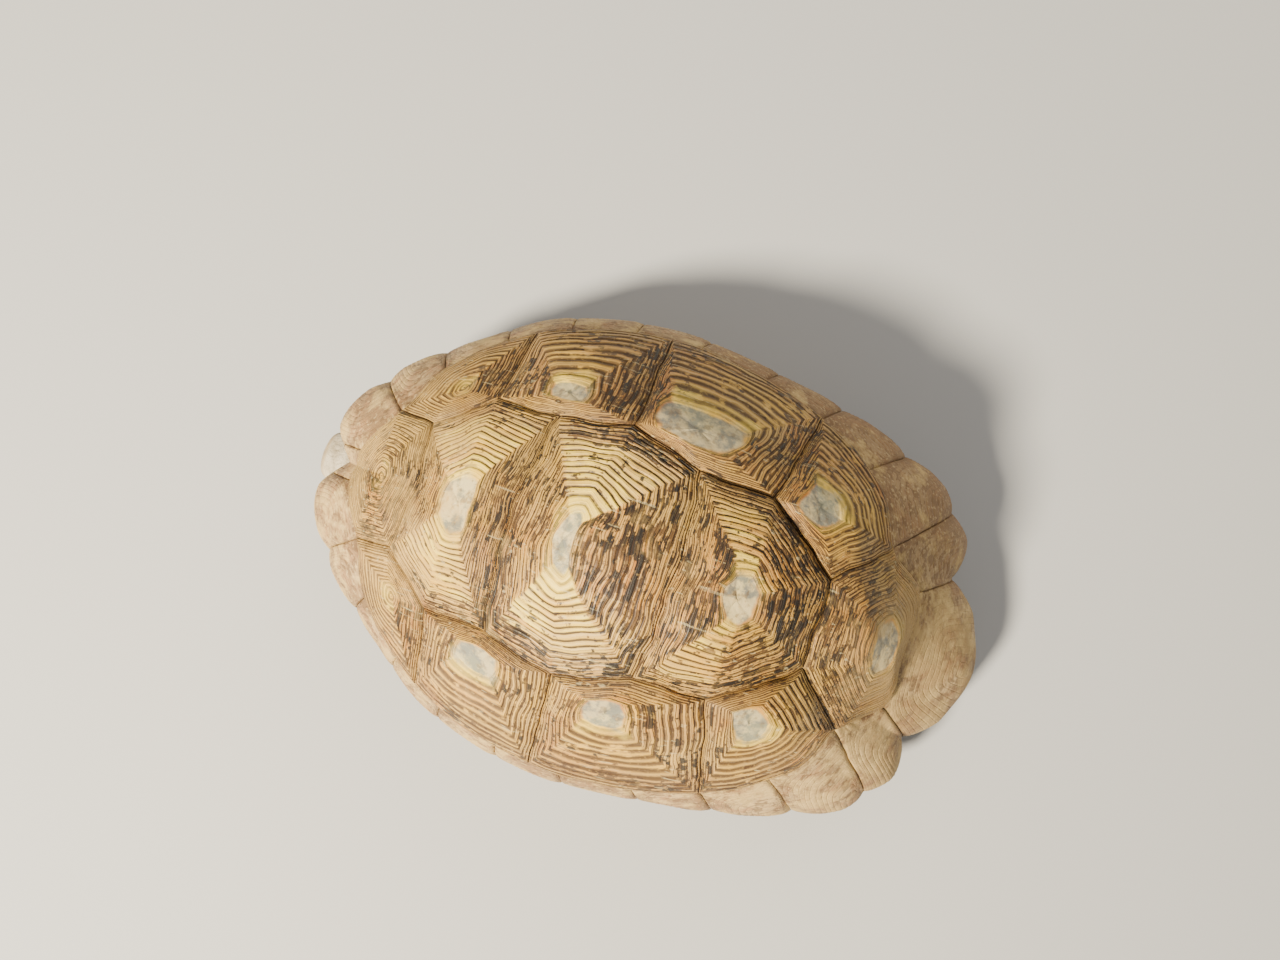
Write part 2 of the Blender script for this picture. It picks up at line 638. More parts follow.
def blurred(values, reach):
    """Soften a closed row of values."""
    total = sum(np.roll(values, k, axis=0) for k in range(-reach, reach + 1))
    return total / (2 * reach + 1)


def ring_places(seed, total):
    """Growth at the start of each ring: the youngest rings, at the seam, are narrow."""
    rng = np.random.default_rng(seed)
    k = (np.arange(total) + 0.5) / total
    widths = (0.55 + 0.75 * np.clip(k / 0.4, 0, 1)) * rng.uniform(0.72, 1.30, total)
    return np.concatenate([[0], np.cumsum(widths) / widths.sum()])


def from_spot(at, spot, far=1.0):
    """0 at a plate's oldest spot, 1 at its near edge, and far at its far edge."""
    return np.where(at > spot, (at - spot) / (1 - spot) * far, (spot - at) / max(spot, 0.01))


def growth_rows(seed, total):
    """Rows of a plate from the middle of its underside over the seam to its middle."""
    starts = ring_places(seed, total)
    rows = [("under", part, 0.0) for part in UNDER_PARTS]
    for k in range(total):
        for part, _ in RING_RISE[:-1]:
            rows.append(("ring", starts[k] + (starts[k + 1] - starts[k]) * part, k + part))
    rows.insert(len(UNDER_PARTS) + 1, ("ring", starts[1] * 0.05, 0.05))
    return rows + [("worn", part, total - 0.5) for part in WORN_PARTS]


def seams_of(edges):
    """Outline of a plate, and at each of its points the fan's paleness and the seam's depth."""
    points, pale, depth = [], [], []
    for line, fan, seam in edges:
        length = np.linalg.norm(np.diff(line, axis=0), axis=1).sum()
        count = max(5, round(length / COLUMN))
        points.append(evenly(line, count))
        pale += [fan] * count
        depth += [seam] * count
    return np.concatenate(points), blurred(np.array(pale), 1), blurred(np.array(depth), 3)


def drawn_in(outline, balance):
    """The outline moved inwards by half a seam."""
    along = np.roll(outline, -1, 0) - np.roll(outline, 1, 0)
    inward = np.stack([-along[:, 1], along[:, 0]], -1)
    inward /= np.linalg.norm(inward, axis=1, keepdims=True)
    inward *= np.sign(((balance - outline) * inward).sum(1).mean())
    return outline + inward * (SEAM / 2)


def old_middle(edge, balance, middle, worn, bend):
    """Outline of the oldest part of a plate: the plate's own, smaller and half rounded off."""
    old = (edge - balance) * worn
    reach = np.abs(old).max(0)
    rounded = old / np.linalg.norm(old / (reach * 0.92), axis=1, keepdims=True)
    old = old * 0.45 + rounded * 0.55
    old[:, 1] += bend * (old[:, 0] / reach[0]) ** 2
    return old + middle


def horn_plate(node, number, edges, middle, worn, rise, finish, bend=0.0, bare=True, total=RINGS):
    """A ringed plate. Each edge is (points, paleness of its fan, depth of its seam).

    worn is the size of the old middle as shares across and along. Where the middle
    isn't bare, its rings run on to the centre.
    """
    outline, pale, depth = seams_of(edges)
    balance = outline.mean(0)
    edge = drawn_in(outline, balance)
    old = old_middle(edge, balance, middle, worn, bend)
    columns = len(outline)
    rows = growth_rows(number, total)
    bm, i, j = grid_of(columns, len(rows) - 1)
    i = i % columns
    kinds, shares, rings = [np.array(column)[j] for column in zip(*rows)]
    on_ring, on_worn, below = kinds == "ring", kinds == "worn", kinds == "under"

    growth = np.where(on_ring, shares, np.where(on_worn, 1.0, 0.0))
    turn = 2 * np.pi * i / columns
    sway = 0.007 * np.sin(turn * 5 + number) + 0.003 * np.sin(turn * 13 + number * 2 + rings * 0.9)
    swayed = np.clip(growth + sway * np.sin(np.pi * growth), 0, 1)
    plan = edge[i] + (old[i] - edge[i]) * swayed[:, None]
    plan = np.where(on_worn[:, None], old[i] + (middle - old[i]) * shares[:, None], plan)
    plan = np.where(below[:, None], balance + (edge[i] - balance) * shares[:, None], plan)

    # Ridges are as high as their rings are wide, and wear down here and there.
    across, along = plan.T
    length = np.linalg.norm(old - edge, axis=1)
    high = np.clip(RIDGE * length / total, *RIDGE_LIMITS)[i]
    fade = 0.72 + 0.28 * np.sin(across * 330 + number) * np.sin(along * 290 + rings * 2.1)
    ridge = np.interp(rings % 1.0, *np.array(RING_RISE).T) * high * fade * (0.50 + 0.50 * pale[i])
    ridge *= 1 - np.clip((growth - 0.93) / 0.07, 0, 1) * 0.5
    lift = rise * through(GROWTH_STEPS, growth) + ridge * on_ring
    lift -= high * RIDGE_SUNK * np.clip(growth / 0.06, 0, 1)
    lift -= depth[i] * np.exp(-growth * length[i] / SEAM_SLOPE)
    pits = WORN_PITS * np.sin(across * 1900) * np.sin(along * 1700)
    dip = WORN_DIP * np.sin(np.pi * np.clip(shares, 0, 1) * 0.5)
    lift = np.where(below, -PLATE + 0.0001, lift + (pits - dip) * on_worn)
    place(bm, on_dome(grown_unevenly(plan), lift))

    # A slight seam takes no dark edge.
    growth = np.maximum(growth, 0.04 * np.clip(2 - depth[i] / SLIGHT, 0, 1))
    if bare:
        growth = growth + shares * on_worn
    else:
        growth = np.where(on_worn, 0.9, growth * 0.9)
        rings = np.where(on_worn, total + 2.9 * shares, rings)
    mark(bm, "growth", np.stack([growth, rings + RINGS_APART * number, pale[i]], -1))
    finish_piece(bm, f"ringed_{node}", finish, (node,))


DEEP = 0.00045             # depth of the groove between vertebral and costal plates
SHALLOW = 0.00035          # depth of the grooves between costal plates
SLIGHT = 0.00012           # depth of the grooves between vertebral plates

VERTEBRALS = (             # middle along, worn share across and along, rise, bend
    (-0.713, (0.24, 0.24), 0.0030, 0.0), (-0.478, (0.26, 0.25), 0.0032, 0.0),
    (-0.206, (0.24, 0.13), 0.0036, 0.0018), (0.183, (0.25, 0.20), 0.0051, 0.0010),
    (0.591, (0.28, 0.26), 0.0040, 0.0))
# Paleness of the fans of each vertebral: front, side to the front, side to the rear, rear.
VERTEBRAL_FANS = ((0.30, 0.45, 0.40, 0.30), (0.60, 0.92, 0.90, 0.30), (0.58, 1.0, 1.0, 0.08),
                  (0.35, 0.85, 0.50, 0.10), (0.20, 0.30, 0.30, 0.40))
COSTAL_FANS = (0.52, 0.26, 0.80, 0.30)      # inner, rear, outer, front
COSTALS = (                # middle, worn shares on the left and on the right, rise
    ((0.393, -0.60), (0.20, 0.20), (0.20, 0.20), 0.0026),
    ((0.477, -0.328), (0.20, 0.34), (0.18, 0.24), 0.0028),
    ((0.486, -0.005), (0.20, 0.24), (0.27, 0.48), 0.0034),
    ((0.371, 0.318), (0.22, 0.26), (0.23, 0.34), 0.0034))


def middle_seam(corner, which, side):
    """Seam over the midline between two vertebral plates, from one side to the other."""
    bow = np.array([0, SEAM_MIDDLES[which] * HALF_LENGTH])
    corner = plan_of(corner)
    return straight(corner * (side, 1), corner * (-side, 1), bow)


def end_seam(foot, middle, side):
    """Seam over the neck or the tail, from the outer costal plate of one side to the other's."""
    return np.concatenate([costal_line(foot, middle, side), costal_line(middle, foot, -side)[1:]])


def make_vertebrals(finish):
    sides = ((V1_SIDE, V1_V2), (V1_V2, V2_APEX, V2_V3), (V2_V3, V3_APEX, V3_V4),
             (V3_V4, V4_APEX, V4_V5), (V4_V5, V5_SIDE))
    last = len(VERTEBRALS) - 1
    for k, (along, worn, rise, bend) in enumerate(VERTEBRALS):
        front, *beside, rear = VERTEBRAL_FANS[k]
        left = [straight(plan_of(a), plan_of(b)) for a, b in zip(sides[k], sides[k][1:])]
        flanks = [(line, fan, DEEP) for line, fan in zip(left, beside)]
        behind = (middle_seam(sides[k][-1], min(k, last - 1), 1), rear, SLIGHT)
        ahead = (middle_seam(sides[k][0], max(k - 1, 0), -1), front, SLIGHT)
        if k == last:
            behind = (end_seam(COSTAL_FEET[-1], 0, 1), rear, SHALLOW)
        if k == 0:
            ahead = (end_seam(COSTAL_FEET[0], 180, -1), front, SHALLOW)
        right = [(mirrored(line), fan, seam) for line, fan, seam in flanks[::-1]]
        middle = np.array([0.0, along * HALF_LENGTH])
        horn_plate(f"vertebral_{k + 1}", k + 1, flanks + [behind] + right + [ahead], middle, worn,
                   rise, finish, bend, k > 0)


def make_costals(finish):
    tops = ((V1_SIDE, V1_V2, V2_APEX), (V2_APEX, V2_V3, V3_APEX),
            (V3_APEX, V3_V4, V4_APEX), (V4_APEX, V4_V5, V5_SIDE))
    inner, behind, outer, ahead = COSTAL_FANS
    for side, word in ((1, "left"), (-1, "right")):
        for k, (middle, worn_left, worn_right, rise) in enumerate(COSTALS):
            top = [plan_of(corner, side) for corner in tops[k]]
            foot = costal_line(COSTAL_FEET[k + 1], COSTAL_FEET[k], side)
            edges = [(straight(a, b), inner, DEEP) for a, b in zip(top, top[1:])]
            if k < len(COSTALS) - 1:
                edges.append((straight(top[-1], foot[0]), behind, SHALLOW))
            edges.append((foot, outer, SHALLOW))
            if k > 0:
                edges.append((straight(foot[-1], top[0]), ahead, SHALLOW))
            number = FIRST_COSTAL + k + len(COSTALS) * (side < 0)
            horn_plate(f"costal_{word}_{k + 1}", number, edges, plan_of(middle, side),
                       worn_left if side > 0 else worn_right, rise, finish, bare=k > 0,
                       total=COSTAL_RINGS)


# ---- plates of the rim
# By angle, 1 where the rim folds down to meet the plastron.
BRIDGE_SPAN = ((50, 0.0), (66, 1.0), (118, 1.0), (132, 0.0))
LIP = (0.0014, 0.0016)     # how far the rounded edge goes in and down
LIP_DROP_AT_BRIDGE = 0.0030
FOLD = (0.0072, 0.0010)    # how far in and down the underside of the rim goes
FOLD_AT_BRIDGE = (0.0050, 0.0090)
RIM_BACK = 0.0039          # depth of the rim's inner side below the dome, halfway up
RIM_TUCK = 0.0006          # how far it leans in under the plates of the dome
END_GROOVE = 0.00045       # depth of the grooves between rim plates
TOP_GROOVE = 0.00015       # and along the plates of the dome
GROOVE_SLOPE = 0.0005
RIM_LINES = 0.00028        # depth of the growth lines
RIM_SLOPE = 0.00032        # drop from a plate's oldest spot to its seams
RIM_COLUMNS = 44
RIM_OUTER = 34             # rows over the outside of a rim plate
RIM_STRAIGHT = 0.93        # from here down the section runs straight to the edge
RIM_IN = 0.0016            # the rim lies this share inside the CAD's, so that no wave passes it
RIM_MIDDLE = (0.86, 0.92)  # oldest spot of a rim plate, from its front and from its top
END_MIDDLE = (0.0, 0.75)   # and of the plates on the midline


def rim_point(inner, rim, row, slide, sink, side):
    """Points of a rim plate, as on the left; row runs 0 to 1 down the outside, then to 5
    round it. side is -1 for the right, where the shell has grown unevenly in its own way.
    """
    flip = np.stack([side + 0 * row, 1 + 0 * row], -1)
    top = at_reach(through(COSTAL_LINE, inner) + SEAM / 2 / HALF_WIDTH, inner)
    edge = at_reach(rim_reach(rim) - RIM_IN, rim)
    run = np.linalg.norm(edge - top, axis=-1)
    outward = (edge - top) / run[:, None]
    turn = np.radians(rim)
    along = np.stack([HALF_WIDTH * np.cos(turn), -HALF_LENGTH * np.sin(turn)], -1)
    along /= np.linalg.norm(along, axis=-1, keepdims=True)
    shift = along * slide[:, None]
    joined = through(BRIDGE_SPAN, rim)
    edge_height = through(RIM_HEIGHT, rim)

    def out_by(reach):
        return top + outward * reach[:, None]

    down = np.clip(row, 0, 1)
    plan = grown_unevenly(out_by(run * down) * flip) * flip
    low_height = dome_height(grown_unevenly(out_by(run * RIM_STRAIGHT) * flip) * flip)
    past = np.clip((down - RIM_STRAIGHT) / (1 - RIM_STRAIGHT), 0, 1)
    height = np.where(down < RIM_STRAIGHT, dome_height(plan),
                      low_height + (edge_height - low_height) * past)
    outside = np.concatenate([plan + shift, height[:, None]], -1)
    outside -= dome_normal(plan) * sink[:, None]

    fold_in, fold_down = [FOLD[k] + (FOLD_AT_BRIDGE[k] - FOLD[k]) * joined for k in (0, 1)]
    lip_down = LIP[1] + LIP_DROP_AT_BRIDGE * joined
    stops = (
        (1.0, run, edge_height),
        (1.5, run - LIP[0] * 0.35, edge_height - lip_down * 0.62),
        (2.0, run - LIP[0], edge_height - lip_down),
        (3.0, run - fold_in, edge_height - fold_down),
        (3.4, run - fold_in - 0.0006, edge_height - fold_down + 0.0030),
        (4.4, run * 0.45, dome_height(out_by(run * 0.45)) - RIM_BACK),
        (5.0, -RIM_TUCK, dome_height(top) - PLATE))
    reach, level = run, edge_height
    for (start, x0, z0), (end, x1, z1) in zip(stops, stops[1:]):
        t = np.clip((row - start) / (end - start), 0, 1)
        reach = np.where(row > start, x0 + (x1 - x0) * t, reach)
        level = np.where(row > start, z0 + (z1 - z0) * t, level)
    # Below, neighbours reach past one another, so that no light comes through.
    under = np.clip((row - 1.2) / 0.8, 0, 1)
    inside = out_by(reach) + shift * (1 - 1.8 * under)[:, None]
    inside = np.concatenate([inside, level[:, None]], -1)
    return np.where((row <= 1)[:, None], outside, inside)


def rim_plate(node, number, ends, finish, side=1.0, midline=0):
    """A plate of the rim. ends is (inner at the front, at the rear, rim at the front, at
    the rear), in degrees. midline is 1 for the plate over the neck, -1 over the tail.
    """
    rows = list(np.linspace(0, 1, RIM_OUTER) ** 0.9) + [1.25, 1.5, 2.0, 2.5, 3.0, 3.4, 4.4, 5.0]
    bm, i, j = grid_of(RIM_COLUMNS, len(rows))
    row = np.array(rows + [0.0])[j]
    share = i / RIM_COLUMNS
    if midline:
        side = np.where(share < 0.5, -1.0, 1.0)
        share = np.abs(2 * share - 1)
        slide = SEAM / 2 * share ** 4 * midline
        from_end = (1 - share) * (0.010 if midline > 0 else 0.022)
        old_q, old_p = END_MIDDLE
    else:
        slide = SEAM / 2 * (2 * share - 1)
        from_end = np.minimum(share, 1 - share) * 0.020
        old_q, old_p = RIM_MIDDLE
    inner_front, inner_rear, rim_front, rim_rear = ends
    inner = inner_front + (inner_rear - inner_front) * share
    rim = rim_front + (rim_rear - rim_front) * share
    outer = row <= 1
    down = np.where(outer, row, 1.0)
    growth = from_spot(share, old_q) ** 5 + from_spot(down, old_p, 0.35) ** 5
    growth = 1 - np.clip(growth ** 0.2, 0, 1)
    ring = np.interp(growth, ring_places(number, RIM_RINGS), np.arange(RIM_RINGS + 1.0))
    uneven = 0.55 + 0.45 * np.sin(share * 9 + number * 1.3) * np.sin(down * 7 + number)
    valley = (1 - np.abs(np.sin(np.pi * ring))) ** 1.5
    sink = END_GROOVE * np.exp(-from_end / GROOVE_SLOPE)
    sink += TOP_GROOVE * np.exp(-down * 0.02 / GROOVE_SLOPE)
    sink += RIM_LINES * valley * uneven * outer + RIM_SLOPE * (1 - growth)
    sink = np.where(outer, sink * (1 - down ** 12), 0.0)
    points = rim_point(inner, rim, row, slide, sink, side)
    points[:, 0] *= side
    place(bm, points)
    mark(bm, "growth", np.stack([growth, ring + RINGS_APART * number, 1.0 - outer], -1))
    weld(bm)
    open_edges = [edge for edge in bm.edges if edge.is_boundary]
    bmesh.ops.holes_fill(bm, edges=open_edges, sides=0)
    finish_piece(bm, f"worn_{node}", finish, (node,), sharp=55)


def make_rim(finish):
    for side, word in ((1, "left"), (-1, "right")):
        for k in range(len(RIM_SEAMS) - 1):
            ends = (*INNER_SEAMS[k:k + 2], *RIM_SEAMS[k:k + 2])
            number = 20 + k + 11 * (side < 0)
            rim_plate(f"marginal_{word}_{k + 1}", number, ends, finish, side)
    rim_plate("nuchal", 43, (180, INNER_SEAMS[0], 180, RIM_SEAMS[0]), finish, midline=1)
    rim_plate("supracaudal", 44, (0, INNER_SEAMS[-1], 0, RIM_SEAMS[-1]), finish, midline=-1)


# ---- plastron
BRIDGE_START = 0.044       # out from here the plastron rises to the rim
BRIDGE_EDGE = 0.0655
BRIDGE_RISE = 0.0186
FLAT_FRONT = 0.0560        # forward from here it rises too
FRONT_RISE = 0.0075
FLAT_REAR = 0.0600
REAR_RISE = 0.0035
PLASTRON_END = 0.0895
PLASTRON_COLUMNS = 30
PLASTRON_ROWS = 26
PLASTRON_RINGS = 10
PLASTRON_MIDDLE = (0.68, 0.55)      # oldest spot of a plate, out from the midline and back
PLASTRON_GROOVE = 0.00035  # depth of the grooves, and width over which they fade out
PLASTRON_SLOPE = 0.0006
PLASTRON_LINES = 0.00005   # depth of the growth lines
EDGE_ROUND = 0.0024        # how far in from its outline the plastron's edge is rounded
EDGE_RISE = 0.0015


def plastron_height(x, y):
    out = np.clip((np.abs(x) - BRIDGE_START) / (BRIDGE_EDGE - BRIDGE_START), 0, 1)
    front = np.maximum(0, (-y - FLAT_FRONT) / (PLASTRON_END - FLAT_FRONT))
    rear = np.maximum(0, (y - FLAT_REAR) / (PLASTRON_END - FLAT_REAR))
    return BRIDGE_RISE * out ** 1.6 + FRONT_RISE * front ** 1.6 + REAR_RISE * rear ** 1.6


def plastron_plate(name, word, number, side, start, end, finish):
    """One plate; start and end are where its seams lie at the midline and at the edge."""
    bm, i, j = grid_of(PLASTRON_COLUMNS, PLASTRON_ROWS)
    u, v = i / PLASTRON_COLUMNS, j / PLASTRON_ROWS
    u = 0.5 - 0.5 * np.cos(np.pi * u) * (1 - 0.35 * np.sin(np.pi * u))
    start = start[0] + (start[1] - start[0]) * u + SEAM / 2
    end = end[0] + (end[1] - end[0]) * u - SEAM / 2
    y = start + (end - start) * v
    x = SEAM / 2 + (through(PLASTRON_WIDTH, y) - SEAM / 2) * u
    growth = 1 - np.clip(np.maximum(*map(from_spot, (u, v), PLASTRON_MIDDLE)), 0, 1)
    near_seam = np.minimum.reduce([u * 0.04, v * (end - start), (1 - v) * (end - start)])
    lift = PLASTRON_GROOVE * np.exp(-np.abs(near_seam) / PLASTRON_SLOPE)
    lift += PLASTRON_LINES * (1 - np.abs(np.sin(np.pi * growth * PLASTRON_RINGS)))
    from_edge = through(PLASTRON_WIDTH, y) - x
    if name == "gular":
        from_edge = np.minimum(from_edge, y - start)
    if name == "anal":
        from_edge = np.minimum(from_edge, end - y)
    past = np.clip(1 - from_edge / EDGE_ROUND, 0, 1)
    lift += EDGE_RISE * (1 - np.sqrt(1 - past ** 2))
    place(bm, np.stack([x * side, y, plastron_height(x, y) + lift], -1))
    mark(bm, "growth", np.stack([growth, growth * PLASTRON_RINGS + RINGS_APART * number, 0 * u], -1))
    face_out(bm)
    if sum(face.normal.z for face in bm.faces) > 0:
        bmesh.ops.reverse_faces(bm, faces=bm.faces)
    grown = bmesh.ops.extrude_face_region(bm, geom=bm.faces[:])
    for item in grown["geom"]:
        if isinstance(item, bmesh.types.BMVert):
            item.co.z = float(plastron_height(item.co.x, item.co.y)) + FLOOR_PLATE - 0.0004
    finish_piece(bm, f"worn_{name}_{word}", finish, (f"{name}_{word}",), sharp=50)


def make_plastron(finish):
    number = 50
    for side, word in ((1, "left"), (-1, "right")):
        for (name, *start), (_, *end) in zip(PLASTRON_SEAMS, PLASTRON_SEAMS[1:]):
            number += 1
            plastron_plate(name, word, number, side, start, end, finish)


# ---- skin
NECK_HEIGHT = 0.0228
NECK_FOLDS = (             # along the body: radius
    (-0.0800, 0.0094), (-0.0768, 0.0106), (-0.0748, 0.0099), (-0.0722, 0.0112),
    (-0.0700, 0.0104), (-0.0674, 0.0118), (-0.0652, 0.0110), (-0.0620, 0.0124),
    (-0.0560, 0.0120))
TAIL_PATH = (              # centre and radius
    (0.0, 0.0560, 0.0188, 0.0078), (0.0, 0.0623, 0.0185, 0.0079),
    (0.0020, 0.0700, 0.0178, 0.0069), (0.0050, 0.0790, 0.0160, 0.0053),
    (0.0090, 0.0880, 0.0138, 0.0039), (0.0130, 0.0955, 0.0107, 0.0027),
    (0.0152, 0.0998, 0.0088, 0.0013))
# A limb leaves the body at its start, turns down by its bend, and stands. Its radii are
# across and along, from the body to the sole.
FRONT_LEG = {"start": (0.0360, -0.0600, 0.0208), "bend": 0.0120, "outward": 0.0060,
             "radii": ((0.0114, 0.0100), (0.0118, 0.0102), (0.0119, 0.0100), (0.0116, 0.0095),
                       (0.0112, 0.0089), (0.0109, 0.0083), (0.0112, 0.0088))}
HIND_LEG = {"start": (0.0375, 0.0600, 0.0185), "bend": 0.0115, "outward": 0.0035,
            "radii": ((0.0121, 0.0107), (0.0121, 0.0107), (0.0115, 0.0105), (0.0109, 0.0099),
                      (0.0104, 0.0093), (0.0103, 0.0091), (0.0107, 0.0095))}
LEG_OUT = 0.002            # how far a limb goes on before it turns down
LEG_TURNS = 9
# Loose skin where the limbs and the neck leave the body: centre and radii.
WALL = 0.062
LOOSE_SIDES = (((0.0355, -WALL, 0.0215), (0.0135, 0.0042, 0.0120)),
               ((0.0190, -WALL, 0.0190), (0.0090, 0.0036, 0.0110)),
               ((0.0370, WALL, 0.0185), (0.0138, 0.0044, 0.0110)),
               ((0.0175, WALL, 0.0160), (0.0100, 0.0034, 0.0085)))
LOOSE_MIDDLES = (((0, -WALL, 0.0228), (0.0145, 0.0046, 0.0128)),
                 ((0, WALL, 0.0185), (0.0105, 0.0046, 0.0095)))
BLOB_CELLS = (20, 12)
SKIN_CELL = 0.00066        # grain of the skin's first mesh
HIDDEN_SHARE = 0.03        # how much of the mesh stays where the shell hides it
PEBBLES = 420              # pebbles of the limbs for each metre
PEBBLE_DEPTH = 0.00028

HEAD_STATIONS = (          # behind the snout: half width, bottom, top
    (0.0000, 0.0042, 0.0176, 0.0256), (0.0012, 0.0068, 0.0160, 0.0277),
    (0.0040, 0.0084, 0.0148, 0.0297), (0.0080, 0.0097, 0.0139, 0.0314),
    (0.0125, 0.0107, 0.0132, 0.0328), (0.0180, 0.0116, 0.0127, 0.0336),
    (0.0240, 0.0122, 0.0124, 0.0337), (0.0290, 0.0118, 0.0126, 0.0332),
    (0.0345, 0.0102, 0.0134, 0.0318))
HEAD_BACK = SNOUT + 0.0357
HEAD_SIDE = 0.0136
HEAD_FLOOR = 0.0105
FACE_BACK = SNOUT + 0.0265          # the skin is finer in front of this
MOUTH = ((0.0, 0.0188), (0.003, 0.0196), (0.008, 0.0193), (0.0125, 0.0184), (0.0165, 0.0172))
EYE = Vector((0.0085, -0.0998, 0.0266))
EYE_RADIUS = 0.0029
EYE_CELLS = (40, 28)
EYE_OPEN = (0.0024, 0.00165)        # half length and half height of the opening
# Temples, cheeks, the hollows before the eyes, and brows: how far each stands out, its
# place and width behind the snout, its height and width, and how far out it is full.
BULGES = ((0.0007, 0.0215, 0.0055, 0.0265, 0.0045, 0.009),
          (0.0005, 0.0150, 0.0035, 0.0175, 0.0025, 0.008),
          (-0.0006, 0.0065, 0.0022, 0.0245, 0.0028, 0.006),
          (0.0006, 0.0115, 0.0042, 0.0306, 0.0014, 0.0062))
# Scales of the crown and of the cheeks: how many for each metre, and depth of their gaps.
CROWN_SCALES = (330, 0.00026)
CHEEK_SCALES = (560, 0.00018)


def round_form(centres, half_across, half_up, across=(1, 0, 0), up=(0, 0, 1), columns=28,
               power=2.2):
    """A closed round form along a row of centres."""
    rows = len(centres)
    bm, i, j = grid_of(columns, rows + 1)
    turn = 2 * np.pi * i / columns
    k = np.clip(j - 1, 0, rows - 1)
    open_row = (j > 0) & (j < rows + 1)
    points = centres[k]
    for half, way, swing in ((half_across, across, np.cos(turn)), (half_up, up, np.sin(turn))):
        swing = np.sign(swing) * np.abs(swing) ** (2 / power) * open_row
        points = points + np.broadcast_to(way, centres.shape)[k] * (half[k] * swing)[:, None]
    place(bm, points)
    weld(bm)
    face_out(bm)
    return bm


def foot_of(leg, side):
    """Where a limb stands, and 1 if it points to the rear, -1 if to the front."""
    x, y, _ = leg["start"]
    heading = 1 if y > 0 else -1
    return (x + leg["outward"]) * side, y + heading * (LEG_OUT + leg["bend"]), heading


def leg_form(leg, side):
    """A limb that comes out of the body, turns down and stands."""
    x, y, z = leg["start"]
    foot_x, foot_y, heading = foot_of(leg, 1)
    bend = leg["bend"]
    # Rows are a centre, the way up, and a place in the list of radii.
    rows = [((x, y - heading * 0.006, z), (0, 0, 1), 0)]
    for t in np.linspace(0, 1, LEG_TURNS):
        sin, cos = math.sin(math.pi / 2 * t), math.cos(math.pi / 2 * t)
        centre = (x + leg["outward"] * t, y + heading * (LEG_OUT + bend * sin), z - bend * (1 - cos))
        rows.append((centre, (0, heading * sin, cos), t * 4))
    for down, section in ((0.35, 5.4), (0.7, 5.75), (0.93, 6)):
        rows.append(((foot_x, foot_y, (z - bend) * (1 - down)), (0, heading, 0), section))
    rows.append(((foot_x, foot_y, 0.0002), (0, heading, 0), 6))
    centres, ups, sections = [np.array(column) for column in zip(*rows)]
    centres[:, 0] *= side
    radii = np.array([np.interp(sections, range(7), column) for column in zip(*leg["radii"])])
    radii[:, -1] *= 0.93
    return round_form(centres, *radii, up=ups)


def head_form():
    behind = np.concatenate([[0.0002, 0.0006], np.linspace(0.0012, 0.0345, 30)])
    half, bottom, top = [through([(s[0], s[k]) for s in HEAD_STATIONS], behind) for k in (1, 2, 3)]
    centres = np.stack([0 * behind, SNOUT + 0.0003 + behind, (bottom + top) / 2], -1)
    return round_form(centres, half, (top - bottom) / 2, columns=48, power=2.45)


def neck_form():
    along = np.linspace(NECK_FOLDS[0][0], NECK_FOLDS[-1][0], 26)
    radius = through(NECK_FOLDS, along)
    centres = np.stack([0 * along, along, 0 * along + NECK_HEIGHT], -1)
    return round_form(centres, radius, radius * 0.92)


def blob(centre, radii):
    bm = bmesh.new()
    bmesh.ops.create_uvsphere(bm, u_segments=BLOB_CELLS[0], v_segments=BLOB_CELLS[1], radius=1.0)
    bmesh.ops.scale(bm, verts=bm.verts, vec=radii)
    bmesh.ops.translate(bm, verts=bm.verts, vec=centre)
    return bm


def rough_body():
    """Trunk, head, neck, tail and limbs as overlapping forms in one mesh."""
    whole = bmesh.new()
    trunk = bmesh.new()
    trunk.from_mesh(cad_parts["trunk"].data)
    weld(trunk, WELD / 2)
    tail = np.array(TAIL_PATH)
    forms = [trunk, head_form(), neck_form(), round_form(tail[:, :3], tail[:, 3], tail[:, 3])]
    for side in (1, -1):
        forms += [leg_form(leg, side) for leg in (FRONT_LEG, HIND_LEG)]
        forms += [blob((x * side, y, z), radii) for (x, y, z), radii in LOOSE_SIDES]
    forms += [blob(centre, radii) for centre, radii in LOOSE_MIDDLES]
    for form in forms:
        add_to(whole, form)
    return whole


def evaluated(piece):
    """The mesh of a piece with its modifiers applied."""
    bpy.context.view_layer.update()
    seen = bpy.context.evaluated_depsgraph_get()
    return bpy.data.meshes.new_from_object(piece.evaluated_get(seen), depsgraph=seen)


def one_skin():
    """Melt the forms into one mesh, coarse where the shell hides it."""
    melt = in_scene("melt", as_mesh(rough_body(), "melt"))
    remesh = melt.modifiers.new("melt", "REMESH")
    remesh.mode = "VOXEL"
    remesh.voxel_size = SKIN_CELL
    mesh = evaluated(melt)
    melt.modifiers.clear()
    melt.data = mesh
    _, y, z = corners(mesh.vertices).T
    seen = (y < -0.054) & (z < 0.045) | (y > 0.054) & (z < 0.040)
    group = melt.vertex_groups.new(name="hidden")
    group.add(np.nonzero(~seen)[0].tolist(), 1.0, "REPLACE")
    thin = melt.modifiers.new("thin", "DECIMATE")
    thin.vertex_group = group.name
    thin.ratio = (seen.sum() + HIDDEN_SHARE * (~seen).sum()) / len(seen)
    mesh = evaluated(melt)
    bpy.data.objects.remove(melt)
    bm = bmesh.new()
    bm.from_mesh(mesh)
    return bm


def ramp(value, low, high):
    t = np.clip((value - low) / (high - low), 0, 1)
    return t * t * (3 - 2 * t)


def near(value, middle, width):
    return np.exp(-((value - middle) / width) ** 2)


def on_head(at, back=HEAD_BACK):
    x, y, z = at.T
    return (y < back) & (np.abs(x) < HEAD_SIDE) & (z > HEAD_FLOOR)


